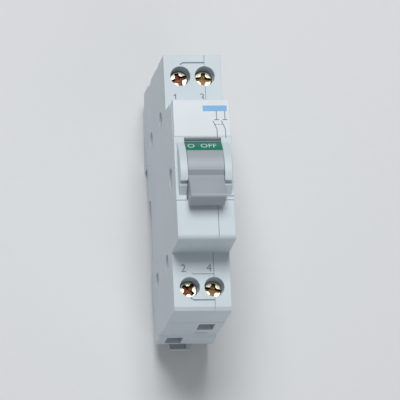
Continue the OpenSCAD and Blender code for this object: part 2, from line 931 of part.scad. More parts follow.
module moving_contact_1() {
    moving_contact(-screw_x);
}

module moving_contact_2() {
    moving_contact(screw_x);
}

// Spring that presses a bridge on to its contacts
module contact_spring(x) {
    color("lightsteelblue")
        translate([x, 0, bridge_z + bridge_t])
            coil(strip_w - 2 * contact_spring_side, spring_room, contact_spring_turns, contact_wire_d);
}

module contact_spring_1() {
    contact_spring(-screw_x);
}

module contact_spring_2() {
    contact_spring(screw_x);
}

// Outline of the left pole's strip: lug in the cage, riser and contact arm
module deep_strip_outline() {
    polygon([
        [strip_end, contact_z],
        [riser_y + strip_t, contact_z],
        [riser_y + strip_t, deep_strip_z + strip_t],
        [lug_end, deep_strip_z + strip_t],
        [lug_end, deep_strip_z],
        [riser_y, deep_strip_z],
        [riser_y, contact_z - strip_t],
        [strip_end, contact_z - strip_t]
    ]);
}

// Outline of the right pole's strip, which steps down to the contacts
module shallow_strip_outline() {
    polygon([
        [strip_end, contact_z],
        [step_y - strip_t, contact_z],
        [step_y - strip_t, shallow_strip_z + strip_t],
        [lug_end, shallow_strip_z + strip_t],
        [lug_end, shallow_strip_z],
        [step_y, shallow_strip_z],
        [step_y, contact_z - strip_t],
        [strip_end, contact_z - strip_t]
    ]);
}

// Fixed contact of one terminal: s is +1 for the top end and -1 for the bottom end
module fixed_contact(x, s) {
    color("peru")
        mirror([0, s > 0 ? 0 : 1, 0])
            union() {
                side(x - strip_w / 2, x + strip_w / 2) {
                    if (x < 0) deep_strip_outline();
                    if (x > 0) shallow_strip_outline();
                }
                translate([x, button_y, contact_z - eps])
                    cylinder(d = button_d, h = button_h + eps, $fn = coarse);
            }
}

module fixed_contact_1() {
    fixed_contact(-screw_x, 1);
}

module fixed_contact_2() {
    fixed_contact(-screw_x, -1);
}

module fixed_contact_3() {
    fixed_contact(screw_x, 1);
}

module fixed_contact_4() {
    fixed_contact(screw_x, -1);
}

// Height of the strip's lug in a pole
function lug_z(x) = x < 0 ? deep_strip_z : shallow_strip_z;

// Rising clamp cage, open along the module, with a threaded top
module terminal_cage(x, y) {
    low = (x < 0 ? deep_entry_z : shallow_entry_z) - cage_t - cage_drop;
    top = lug_z(x) + strip_t + cage_play;
    color("gold")
        translate([x, y, 0])
            difference() {
                block([-cage_w / 2, -cage_len / 2, low],
                      [cage_w / 2, cage_len / 2, top + cage_top_t]);
                block([-cage_w / 2 + cage_t, -cage_len, low + cage_t],
                      [cage_w / 2 - cage_t, cage_len, top]);
                translate([0, 0, top - 1])
                    cylinder(d = shank_d + 2 * fit_gap, h = cage_top_t + 2, $fn = smooth);
            }
}

module terminal_cage_1() {
    terminal_cage(-screw_x, screw_top_y);
}

module terminal_cage_2() {
    terminal_cage(-screw_x, -screw_bottom_y);
}

module terminal_cage_3() {
    terminal_cage(screw_x, screw_top_y);
}

module terminal_cage_4() {
    terminal_cage(screw_x, -screw_bottom_y);
}

// Recess of a screw head: a slot right across, a broad cross and a deeper middle
module driver_recess() {
    slot_w = slot_share * head_d;
    cross_w = cross_share * head_d;
    cross_len = cross_reach * head_d;
    middle_d = middle_share * head_d;
    block([-head_d, -slot_w / 2, head_top_z - slot_depth],
          [head_d, slot_w / 2, head_top_z + 1]);
    for (turn = [0, 90])
        rotate(turn)
            block([-cross_w / 2, -cross_len / 2, head_top_z - cross_depth],
                  [cross_w / 2, cross_len / 2, head_top_z + 1]);
    translate([0, 0, head_top_z - middle_depth])
        cylinder(d1 = middle_d / 2, d2 = middle_d, h = middle_depth + eps, $fn = coarse);
}

// Terminal screw with its recess, turned by an angle
module terminal_screw(x, y, turn) {
    tip_z = lug_z(x) + strip_t + tip_play;
    cone_h = 0.7;
    rim = 0.3;
    color("khaki")
        translate([x, y, 0])
            rotate(turn)
                difference() {
                    union() {
                        translate([0, 0, head_z])
                            cylinder(d = head_d, h = head_h - rim, $fn = smooth);
                        translate([0, 0, head_top_z - rim])
                            cylinder(d1 = head_d, d2 = head_d - 2 * rim, h = rim, $fn = smooth);
                        translate([0, 0, tip_z + cone_h])
                            cylinder(d = shank_d, h = head_z - tip_z - cone_h + eps, $fn = smooth);
                        translate([0, 0, tip_z])
                            cylinder(d1 = shank_d - 2 * cone_h, d2 = shank_d, h = cone_h, $fn = smooth);
                    }
                    driver_recess();
                }
}

module terminal_screw_1() {
    terminal_screw(-screw_x, screw_top_y, screw_turns[0]);
}

module terminal_screw_2() {
    terminal_screw(-screw_x, -screw_bottom_y, screw_turns[1]);
}

module terminal_screw_3() {
    terminal_screw(screw_x, screw_top_y, screw_turns[2]);
}

module terminal_screw_4() {
    terminal_screw(screw_x, -screw_bottom_y, screw_turns[3]);
}

// Sliding clip that grips the lower flange of the rail
module rail_clip() {
    half = clip_w / 2;
    front = -0.1;
    top_y = -half_rail + rail_grip;
    stem_top = -half_rail - rail_play;
    flange_z = -rail_t - flange_play;
    back_y = top_y - jaw_len;
    tab_y = -half_len - clip_tab;
    tab_root = -half_len + tab_in;
    bar = 0.5;
    right_bar = 2;
    pocket_floor = 0.3;
    color("lightgray")
        translate([clip_x, 0, 0])
            difference() {
                union() {
                    // Slide and its two wings
                    block([-half, tab_root, -clip_t], [half, stem_top, front]);
                    block([-half - clip_wing, tab_root, -clip_wing_t], [half + clip_wing, stem_top, front]);
                    // Jaw with its sloping back, which lets the rail push it aside
                    side(-half, half)
                        polygon([
                            [stem_top, flange_z],
                            [top_y, flange_z],
                            [top_y, flange_z - jaw_lip],
                            [top_y - jaw_slope, -hook_depth],
                            [back_y, -hook_depth],
                            [back_y - jaw_back, -clip_t],
                            [back_y, front],
                            [stem_top, front]
                        ]);
                    // Tapered tab past the end wall
                    translate([0, 0, -clip_tab_t])
                        linear_extrude(height = clip_tab_t + front)
                            polygon([
                                [-half, tab_root + eps],
                                [half, tab_root + eps],
                                [half, -half_len - tab_straight],
                                [half - tab_taper, tab_y],
                                [-half + tab_taper, tab_y],
                                [-half, -half_len - tab_straight]
                            ]);
                }
                // Pocket in the tab for the screwdriver's tip
                block([-half + bar, tab_y + bar, -clip_tab_t + pocket_floor],
                      [half - right_bar, tab_root, 1]);
                // Window for the spring and its stop
                block([-clip_window_w / 2, clip_window_end, -hook_depth - 1],
                      [clip_window_w / 2, clip_window_top, 1]);
            }
}

// Spring that pushes the clip up against the rail
module clip_spring() {
    color("lightsteelblue")
        translate([clip_x, spring_stop_y + fit_gap, -clip_t / 2])
            rotate([-90, 0, 0])
                coil(clip_spring_d, clip_window_top - spring_stop_y - 2 * fit_gap,
                     clip_spring_turns, clip_wire_d);
}

housing_left();
housing_right();
label_cap();
rivets();
pole_barrier();
toggle();
pivot_pin();
drive_pin();
flag_off();
flag_on();
toggle_spring();
contact_carrier();
moving_contact_1();
moving_contact_2();
contact_spring_1();
contact_spring_2();
fixed_contact_1();
fixed_contact_2();
fixed_contact_3();
fixed_contact_4();
terminal_cage_1();
terminal_cage_2();
terminal_cage_3();
terminal_cage_4();
terminal_screw_1();
terminal_screw_2();
terminal_screw_3();
terminal_screw_4();
rail_clip();
clip_spring();
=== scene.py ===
"""Looks of a two-pole switch disconnector that clips on a top-hat rail.

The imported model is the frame. This script gives each of its pieces a finish, rounds the outer edges
of the toggle, the label cap and the rail clip, adds the printed markings, and sets up the floor, the
lights and the camera. Lengths are in metres, and mm() turns millimetres into them.
"""

from __future__ import annotations

import json
import logging
import math
from dataclasses import dataclass, field
from enum import Enum
from typing import Callable, Iterable

import bmesh
import bpy
from mathutils import Matrix, Vector


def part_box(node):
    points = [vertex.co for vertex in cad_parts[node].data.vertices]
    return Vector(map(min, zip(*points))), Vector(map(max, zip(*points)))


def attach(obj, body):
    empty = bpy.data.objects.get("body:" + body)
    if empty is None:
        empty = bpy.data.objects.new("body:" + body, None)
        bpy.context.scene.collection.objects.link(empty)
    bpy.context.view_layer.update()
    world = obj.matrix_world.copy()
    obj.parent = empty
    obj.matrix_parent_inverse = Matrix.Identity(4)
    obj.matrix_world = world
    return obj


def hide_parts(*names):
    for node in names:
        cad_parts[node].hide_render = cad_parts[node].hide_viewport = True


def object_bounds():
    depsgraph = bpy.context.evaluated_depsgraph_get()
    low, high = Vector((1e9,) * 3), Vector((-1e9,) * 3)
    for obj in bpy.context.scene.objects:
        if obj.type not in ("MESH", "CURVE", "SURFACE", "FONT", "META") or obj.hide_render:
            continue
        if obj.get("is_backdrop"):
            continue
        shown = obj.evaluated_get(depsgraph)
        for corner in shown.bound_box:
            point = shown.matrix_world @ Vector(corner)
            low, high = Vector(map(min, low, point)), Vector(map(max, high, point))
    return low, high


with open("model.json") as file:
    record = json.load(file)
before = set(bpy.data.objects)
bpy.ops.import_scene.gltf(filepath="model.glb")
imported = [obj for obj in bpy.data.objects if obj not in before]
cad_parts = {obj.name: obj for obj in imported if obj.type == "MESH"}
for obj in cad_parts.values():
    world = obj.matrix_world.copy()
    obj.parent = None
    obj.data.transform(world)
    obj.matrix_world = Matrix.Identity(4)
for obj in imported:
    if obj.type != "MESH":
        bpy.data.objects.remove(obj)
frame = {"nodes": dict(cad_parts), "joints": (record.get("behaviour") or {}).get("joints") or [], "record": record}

LOG = logging.getLogger("switch_disconnector")
MILLIMETRE = 0.001

# The sRGB curve: a straight foot below the knee and a power above it
SRGB_KNEE = 0.04045
SRGB_FOOT = 12.92
SRGB_OFFSET = 0.055
SRGB_POWER = 2.4

# Values that a noise mostly lies between, for an even and for a sharper change
NOISE_LOW = 0.3
NOISE_HIGH = 0.7
GRAIN_LOW = 0.35
GRAIN_HIGH = 0.65

# Rays that a softened edge takes
BEVEL_SAMPLES = 6

# Sockets of a colour mix, which share their names with those of its other kinds
MIX_FACTOR = 0
MIX_A = 6
MIX_B = 7
MIX_COLOUR = 2

# How far the outer edges of the plain moulded pieces are rounded, in millimetres
EDGE_ROUNDS_MM = {"label_cap": 0.15, "toggle": 0.2, "rail_clip": 0.12}


def mm(value: float) -> float:
    """Return a length in millimetres as metres."""
    return value * MILLIMETRE


def linear(hex_code: str) -> tuple[float, float, float, float]:
    """Turn an sRGB hex value into the linear colour that a shader socket takes.

    Args:
        hex_code: six hex digits, with or without a leading hash.

    Returns:
        Red, green, blue and an alpha of 1.
    """
    digits = hex_code.lstrip("#")
    parts = [int(digits[i:i + 2], 16) / 255 for i in (0, 2, 4)]
    red, green, blue = (c / SRGB_FOOT if c <= SRGB_KNEE
                        else ((c + SRGB_OFFSET) / (1 + SRGB_OFFSET)) ** SRGB_POWER for c in parts)
    return red, green, blue, 1.0


def add_node(tree: bpy.types.NodeTree, kind: str, settings: dict | None = None,
             values: dict | None = None, links: dict | None = None) -> bpy.types.Node:
    """Add one shader node.

    Args:
        tree: node tree that takes the node.
        kind: the node's type name.
        settings: attributes of the node.
        values: default values, by input name or index.
        links: output sockets that feed inputs, by input name or index.

    Returns:
        The new node.
    """
    node = tree.nodes.new(kind)
    for key, value in (settings or {}).items():
        setattr(node, key, value)
    for key, value in (values or {}).items():
        node.inputs[key].default_value = value
    for key, socket in (links or {}).items():
        tree.links.new(socket, node.inputs[key])
    return node


def blank_material(name: str) -> tuple[bpy.types.Material, bpy.types.NodeTree]:
    """Make a material whose node tree is empty.

    Args:
        name: the material's name.

    Returns:
        The material and its node tree.
    """
    material = bpy.data.materials.new(name)
    material.use_nodes = True
    material.node_tree.nodes.clear()
    return material, material.node_tree


class Shade(Enum):
    """Colours of the real pieces and of the studio, as sRGB hex values."""

    HOUSING = "#CCD8DF"
    LABEL = "#D9E0E5"
    TOGGLE = "#A5ACB4"
    GREEN = "#1B7A64"
    RED = "#B3261E"
    DARK = "#3A3E44"
    CLIP = "#BFC8CE"
    INK_GREY = "#7A838A"
    INK_WHITE = "#BFE3D6"
    INK_BLUE = "#7DB6E4"
    STEEL = "#B9BBBE"
    RIVET = "#C3C8CE"
    ZINC = "#B8B5A6"
    SCREW = "#E2DBC8"
    # Recess colours of the screws: a real chromate stain darkened with painted shade
    SCREW_STAIN_AND_SHADE_LEFT = "#5E3A2B"
    SCREW_STAIN_AND_SHADE_RIGHT = "#6A5636"
    COPPER = "#C07A55"
    SPRING = "#8F9297"
    FLOOR = "#E6E8EA"
    WORLD = "#F2F4F6"


@dataclass(frozen=True)
class MouldedPlastic:
    """Injection-moulded thermoplastic: even colour, a fine spark-eroded grain and soft edges."""

    name: str
    shade: Shade
    roughness: float = 0.42
    grain_mm: float = 0.35
    grain_depth_mm: float = 0.006
    grain_strength: float = 0.5
    flow_mm: float = 12.0
    mottle: float = 0.025
    gloss_swing: float = 0.06
    edge_mm: float = 0.18
    ior: float = 1.53
    specular: float = 0.45

    def material(self) -> bpy.types.Material:
        """Build the finish.

        Returns:
            A material that reads Object coordinates.
        """
        material, tree = blank_material(self.name)
        coords = add_node(tree, "ShaderNodeTexCoord")
        place = coords.outputs["Object"]
        # Flow of the melt: a slow change of tone along the piece
        cloud = add_node(tree, "ShaderNodeTexNoise",
                         values={"Scale": 1 / mm(self.flow_mm), "Detail": 2.0},
                         links={"Vector": place})
        tone = add_node(tree, "ShaderNodeMapRange",
                        values={"From Min": NOISE_LOW, "From Max": NOISE_HIGH,
                                "To Min": 1 - self.mottle, "To Max": 1 + self.mottle},
                        links={"Value": cloud.outputs["Fac"]})
        colour = add_node(tree, "ShaderNodeHueSaturation", values={"Color": linear(self.shade.value)},
                          links={"Value": tone.outputs["Result"]})
        # Spark-eroded grain of the mould, drawn a little coarser than the real 0.1 mm so it shows
        grain = add_node(tree, "ShaderNodeTexNoise",
                         values={"Scale": 1 / mm(self.grain_mm), "Detail": 3.0, "Roughness": 0.6},
                         links={"Vector": place})
        sheen = add_node(tree, "ShaderNodeMapRange",
                         values={"From Min": GRAIN_LOW, "From Max": GRAIN_HIGH,
                                 "To Min": self.roughness - self.gloss_swing,
                                 "To Max": self.roughness + self.gloss_swing},
                         links={"Value": grain.outputs["Fac"]})
        soft_edge = add_node(tree, "ShaderNodeBevel", {"samples": BEVEL_SAMPLES},
                             {"Radius": mm(self.edge_mm)})
        bump = add_node(tree, "ShaderNodeBump",
                        values={"Strength": self.grain_strength,
                                "Distance": mm(self.grain_depth_mm)},
                        links={"Height": grain.outputs["Fac"], "Normal": soft_edge.outputs["Normal"]})
        shader = add_node(tree, "ShaderNodeBsdfPrincipled",
                          values={"IOR": self.ior, "Specular IOR Level": self.specular},
                          links={"Base Color": colour.outputs["Color"],
                                 "Roughness": sheen.outputs["Result"],
                                 "Normal": bump.outputs["Normal"]})
        add_node(tree, "ShaderNodeOutputMaterial", links={"Surface": shader.outputs["BSDF"]})
        return material


@dataclass(frozen=True)
class PlatedMetal:
    """Pressed, turned or drawn metal with a thin plating: fine draw lines and a few dull spots."""

    name: str
    shade: Shade
    roughness: float = 0.3
    line_mm: float = 0.12
    line_axis: int = 2
    stretch: float = 12.0
    line_strength: float = 0.4
    line_depth_mm: float = 0.004
    spot_mm: float = 0.9
    spot_high: float = 0.7
    shine: float = 0.06
    dull: float = 0.12
    darkest: float = 0.88
    brightest: float = 1.05
    edge_mm: float = 0.08

    def material(self) -> bpy.types.Material:
        """Build the finish.

        Returns:
            A material that reads Object coordinates.
        """
        material, tree = blank_material(self.name)
        coords = add_node(tree, "ShaderNodeTexCoord")
        scale = [self.stretch, self.stretch, self.stretch]
        scale[self.line_axis] = 1.0
        aligned = add_node(tree, "ShaderNodeMapping", values={"Scale": scale},
                           links={"Vector": coords.outputs["Object"]})
        # Lines left by the drawing or turning tool
        lines = add_node(tree, "ShaderNodeTexNoise",
                         values={"Scale": 1 / mm(self.line_mm * self.stretch), "Detail": 2.0},
                         links={"Vector": aligned.outputs["Vector"]})
        # Patches where the plating is thinner
        spots = add_node(tree, "ShaderNodeTexNoise",
                         values={"Scale": 1 / mm(self.spot_mm), "Detail": 3.0},
                         links={"Vector": coords.outputs["Object"]})
        gloss = add_node(tree, "ShaderNodeMapRange",
                         values={"From Min": GRAIN_LOW, "From Max": self.spot_high,
                                 "To Min": self.roughness - self.shine,
                                 "To Max": self.roughness + self.dull},
                         links={"Value": spots.outputs["Fac"]})
        tone = add_node(tree, "ShaderNodeMapRange",
                        values={"From Min": NOISE_LOW, "From Max": NOISE_HIGH,
                                "To Min": self.darkest, "To Max": self.brightest},
                        links={"Value": spots.outputs["Fac"]})
        colour = add_node(tree, "ShaderNodeHueSaturation", values={"Color": linear(self.shade.value)},
                          links={"Value": tone.outputs["Result"]})
        soft_edge = add_node(tree, "ShaderNodeBevel", {"samples": BEVEL_SAMPLES},
                             {"Radius": mm(self.edge_mm)})
        bump = add_node(tree, "ShaderNodeBump",
                        values={"Strength": self.line_strength, "Distance": mm(self.line_depth_mm)},
                        links={"Height": lines.outputs["Fac"], "Normal": soft_edge.outputs["Normal"]})
        shader = add_node(tree, "ShaderNodeBsdfPrincipled", values={"Metallic": 1.0},
                          links={"Base Color": colour.outputs["Color"],
                                 "Roughness": gloss.outputs["Result"],
                                 "Normal": bump.outputs["Normal"]})
        add_node(tree, "ShaderNodeOutputMaterial", links={"Surface": shader.outputs["BSDF"]})
        return material


@dataclass(frozen=True)
class PassivatedScrew:
    """Zinc-plated screw head: bright on top, and darker down in its recess, from a real stain and painted shade.

    The recess colour, yellow chromate darkened with painted shade, is brown on the left pole's screws
    and brassy on the right's.
    """

    name: str
    shade: Shade
    left_stain_and_shade: Shade
    right_stain_and_shade: Shade
    head_top: float
    fade_from_mm: float = 0.1
    fade_mm: float = 0.5
    roughness: float = 0.36
    shine: float = 0.05
    dull: float = 0.12
    spot_mm: float = 0.7
    spot_high: float = 0.75
    spot_cover: float = 0.78
    spot_strength: float = 0.3
    spot_depth_mm: float = 0.01
    edge_mm: float = 0.1

    def material(self) -> bpy.types.Material:
        """Build the finish.

        Returns:
            A material whose colour turns from bright to brown below the head's top face.
        """
        material, tree = blank_material(self.name)
        coords = add_node(tree, "ShaderNodeTexCoord")
        split = add_node(tree, "ShaderNodeSeparateXYZ", links={"Vector": coords.outputs["Object"]})
        spots = add_node(tree, "ShaderNodeTexNoise",
                         values={"Scale": 1 / mm(self.spot_mm), "Detail": 3.0},
                         links={"Vector": coords.outputs["Object"]})
        # Painted shade over the real stain: the colour darkens to the recess colour below the head's top face
        depth = add_node(tree, "ShaderNodeMapRange",
                         values={"From Min": self.head_top - mm(self.fade_mm),
                                 "From Max": self.head_top - mm(self.fade_from_mm)},
                         links={"Value": split.outputs["Z"]})
        stained = add_node(tree, "ShaderNodeMapRange",
                           values={"From Min": NOISE_LOW, "From Max": self.spot_high,
                                   "To Min": 1.0, "To Max": self.spot_cover},
                           links={"Value": spots.outputs["Fac"]})
        bright = add_node(tree, "ShaderNodeMath", {"operation": "MULTIPLY"},
                          links={0: depth.outputs["Result"], 1: stained.outputs["Result"]})
        # The poles lie on either side of the middle plane
        pole = add_node(tree, "ShaderNodeMath", {"operation": "GREATER_THAN"}, {1: 0.0},
                        {0: split.outputs["X"]})
        # The recess colour, a stain darkened with painted shade, differs between the poles
        recess_stain_and_shade = add_node(tree, "ShaderNodeMix", {"data_type": "RGBA"},
                        values={MIX_A: linear(self.left_stain_and_shade.value),
                                MIX_B: linear(self.right_stain_and_shade.value)},
                        links={MIX_FACTOR: pole.outputs["Value"]})
        colour = add_node(tree, "ShaderNodeMix", {"data_type": "RGBA"},
                          values={MIX_B: linear(self.shade.value)},
                          links={MIX_FACTOR: bright.outputs["Value"],
                                 MIX_A: recess_stain_and_shade.outputs[MIX_COLOUR]})
        gloss = add_node(tree, "ShaderNodeMapRange",
                         values={"From Min": NOISE_LOW, "From Max": NOISE_HIGH,
                                 "To Min": self.roughness - self.shine,
                                 "To Max": self.roughness + self.dull},
                         links={"Value": spots.outputs["Fac"]})
        soft_edge = add_node(tree, "ShaderNodeBevel", {"samples": BEVEL_SAMPLES},
                             {"Radius": mm(self.edge_mm)})
        bump = add_node(tree, "ShaderNodeBump",
                        values={"Strength": self.spot_strength, "Distance": mm(self.spot_depth_mm)},
                        links={"Height": spots.outputs["Fac"], "Normal": soft_edge.outputs["Normal"]})
        shader = add_node(tree, "ShaderNodeBsdfPrincipled", values={"Metallic": 1.0},
                          links={"Base Color": colour.outputs[MIX_COLOUR],
                                 "Roughness": gloss.outputs["Result"],
                                 "Normal": bump.outputs["Normal"]})
        add_node(tree, "ShaderNodeOutputMaterial", links={"Surface": shader.outputs["BSDF"]})
        return material


@dataclass(frozen=True)
class PadPrint:
    """Pad-printed ink: a flat colour with slightly uneven cover."""

    name: str
    shade: Shade
    roughness: float = 0.5
    cover_mm: float = 0.25
    thinnest: float = 0.95
    thickest: float = 1.06

    def material(self) -> bpy.types.Material:
        """Build the finish.

        Returns:
            A material that reads Object coordinates.
        """
        material, tree = blank_material(self.name)
        coords = add_node(tree, "ShaderNodeTexCoord")
        cover = add_node(tree, "ShaderNodeTexNoise",
                         values={"Scale": 1 / mm(self.cover_mm), "Detail": 2.0},
                         links={"Vector": coords.outputs["Object"]})
        tone = add_node(tree, "ShaderNodeMapRange",
                        values={"From Min": NOISE_LOW, "From Max": NOISE_HIGH,
                                "To Min": self.thinnest, "To Max": self.thickest},
                        links={"Value": cover.outputs["Fac"]})
        colour = add_node(tree, "ShaderNodeHueSaturation", values={"Color": linear(self.shade.value)},
                          links={"Value": tone.outputs["Result"]})
        shader = add_node(tree, "ShaderNodeBsdfPrincipled", values={"Roughness": self.roughness},
                          links={"Base Color": colour.outputs["Color"]})
        add_node(tree, "ShaderNodeOutputMaterial", links={"Surface": shader.outputs["BSDF"]})
        return material


def new_piece(name: str, mesh: bpy.types.Mesh, material: bpy.types.Material, body: str) -> bpy.types.Object:
    """Put a finished mesh into the scene as a piece of the object.

    Args:
        name: the piece's name.
        mesh: its mesh, already in place.
        material: its finish.
        body: the body that it moves with.

    Returns:
        The new object.
    """
    mesh.materials.clear()
    mesh.materials.append(material)
    piece = bpy.data.objects.new(name, mesh)
    bpy.context.scene.collection.objects.link(piece)
    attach(piece, body)
    LOG.info("%s rides on %s, %d faces", name, body, len(mesh.polygons))
    return piece


def mesh_from(build: Callable[[bmesh.types.BMesh], None], name: str) -> bpy.types.Mesh:
    """Run a function that shapes a bmesh, and keep the result.

    Args:
        build: function that fills the bmesh.
        name: the mesh's name.

    Returns:
        The mesh, with its normals pointing outwards.
    """
    bm = bmesh.new()
    build(bm)
    bmesh.ops.recalc_face_normals(bm, faces=bm.faces)
    mesh = bpy.data.meshes.new(name)
    bm.to_mesh(mesh)
    bm.free()
    return mesh


@dataclass(frozen=True)
class EdgeSoftener:
    """Rounds the long outer edges of a moulded piece, as its mould does."""

    radius_mm: float = 0.2
    segments: int = 2
    sharp_deg: float = 30.0
    shortest_mm: float = 1.2
    merge_mm: float = 0.002
    flat_deg: float = 0.5

    def merged(self, node: str) -> bmesh.types.BMesh:
        """Copy a node's loose triangles and join them into closed faces.

        Args:
            node: the node's name.

        Returns:
            A bmesh of the copy, with its flat faces whole again.
        """
        bm = bmesh.new()
        bm.from_mesh(frame["nodes"][node].data)
        bmesh.ops.remove_doubles(bm, verts=bm.verts, dist=mm(self.merge_mm))
        bmesh.ops.dissolve_degenerate(bm, edges=bm.edges, dist=mm(self.merge_mm))
        bmesh.ops.dissolve_limit(bm, angle_limit=math.radians(self.flat_deg), verts=bm.verts,
                                 edges=bm.edges)
        return bm

    def outer_edges(self, bm: bmesh.types.BMesh) -> list[bmesh.types.BMEdge]:
        """Pick the edges to round.

        Args:
            bm: the merged piece.

        Returns:
            Its long convex sharp edges.
        """
        sharp = math.radians(self.sharp_deg)
        long_enough = mm(self.shortest_mm)
        return [e for e in bm.edges
                if e.is_manifold and e.is_convex and e.calc_length() > long_enough
                and e.calc_face_angle(0.0) > sharp]

    def soften(self, node: str, body: str) -> bpy.types.Object:
        """Make the rounded piece and let it stand in for the node.

        Args:
            node: the node's name.
            body: the body that the node belongs to.

        Returns:
            The new piece.
        """
        bm = self.merged(node)
        bmesh.ops.bevel(bm, geom=self.outer_edges(bm), offset=mm(self.radius_mm), offset_type="OFFSET",
                        affect="EDGES", segments=self.segments, profile=0.5, material=-1,
                        clamp_overlap=True)
        # Faces with many corners are split, because a concave one may fill wrongly
        bmesh.ops.triangulate(bm, faces=[f for f in bm.faces if len(f.verts) > 4])
        name = f"{node}_rounded"
        mesh = bpy.data.meshes.new(name)
        bm.to_mesh(mesh)
        bm.free()
        source = frame["nodes"][node]
        piece = new_piece(name, mesh, source.data.materials[0], body)
        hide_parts(node)
        return piece


class Finishes:
    """All finishes of the object, each made once."""

    def __init__(self, head_top: float) -> None:
        """Build the materials.

        Args:
            head_top: height of the screw heads' top face.
        """
        self.housing = MouldedPlastic("moulded_polycarbonate_light_grey", Shade.HOUSING).material()
        self.label = MouldedPlastic("moulded_abs_off_white", Shade.LABEL, roughness=0.36,
                                    grain_depth_mm=0.003).material()
        self.toggle = MouldedPlastic("moulded_polyamide_mid_grey", Shade.TOGGLE, roughness=0.38,
                                     grain_depth_mm=0.004).material()
        self.green = MouldedPlastic("moulded_abs_green", Shade.GREEN, roughness=0.32,
                                    grain_depth_mm=0.002).material()
        self.red = MouldedPlastic("moulded_abs_red", Shade.RED, roughness=0.32,
                                  grain_depth_mm=0.002).material()
        self.dark = MouldedPlastic("moulded_phenolic_dark_grey", Shade.DARK, roughness=0.5).material()
        self.clip = MouldedPlastic("moulded_acetal_light_grey", Shade.CLIP, roughness=0.4).material()
        self.pin = PlatedMetal("ground_steel", Shade.STEEL, roughness=0.22, line_axis=0).material()
        self.rivet = PlatedMetal("zinc_plated_rivet_steel", Shade.RIVET, roughness=0.34).material()
        self.cage = PlatedMetal("zinc_plated_pressed_steel", Shade.ZINC, roughness=0.36,
                                line_axis=1).material()
        self.copper = PlatedMetal("rolled_copper", Shade.COPPER, roughness=0.3, line_axis=1).material()
        self.spring = PlatedMetal("drawn_spring_wire", Shade.SPRING, roughness=0.28).material()
        self.screw = PassivatedScrew("passivated_screw_steel", Shade.SCREW, Shade.SCREW_STAIN_AND_SHADE_LEFT,
                                     Shade.SCREW_STAIN_AND_SHADE_RIGHT, head_top).material()
        self.ink_grey = PadPrint("grey_pad_print", Shade.INK_GREY).material()
        self.ink_white = PadPrint("white_pad_print", Shade.INK_WHITE).material()
        self.ink_blue = PadPrint("blue_pad_print", Shade.INK_BLUE).material()


def dress(finishes: Finishes) -> None:
    """Give every node of the frame its finish, by the record's material slot.

    Args:
        finishes: the object's finishes.
    """
    by_slot = {
        "housing_plastic": finishes.housing,
        "label_plastic": finishes.label,
        "toggle_plastic": finishes.toggle,
        "green_plastic": finishes.green,
        "red_plastic": finishes.red,
        "dark_plastic": finishes.dark,
        "clip_plastic": finishes.clip,
        "rivet_steel": finishes.rivet,
        "bright_steel": finishes.pin,
        "spring_steel": finishes.spring,
        "zinc_steel": finishes.cage,
        "screw_steel": finishes.screw,
        "copper": finishes.copper,
    }
    for subpart in frame["record"]["subparts"]:
        piece = frame["nodes"][subpart["node"]]
        piece.data.materials.clear()
        piece.data.materials.append(by_slot[subpart["material_slot"]])
        LOG.info("%s is finished as %s", piece.name, subpart["material_slot"])


def round_edges() -> None:
    """Round the outer edges of the moulded pieces that show."""
    groups = frame["record"]["behaviour"]["bodies"]
    bodies = {node: body for body, nodes in groups.items() for node in nodes}
    for node, radius in EDGE_ROUNDS_MM.items():
        EdgeSoftener(radius_mm=radius).soften(node, bodies[node])


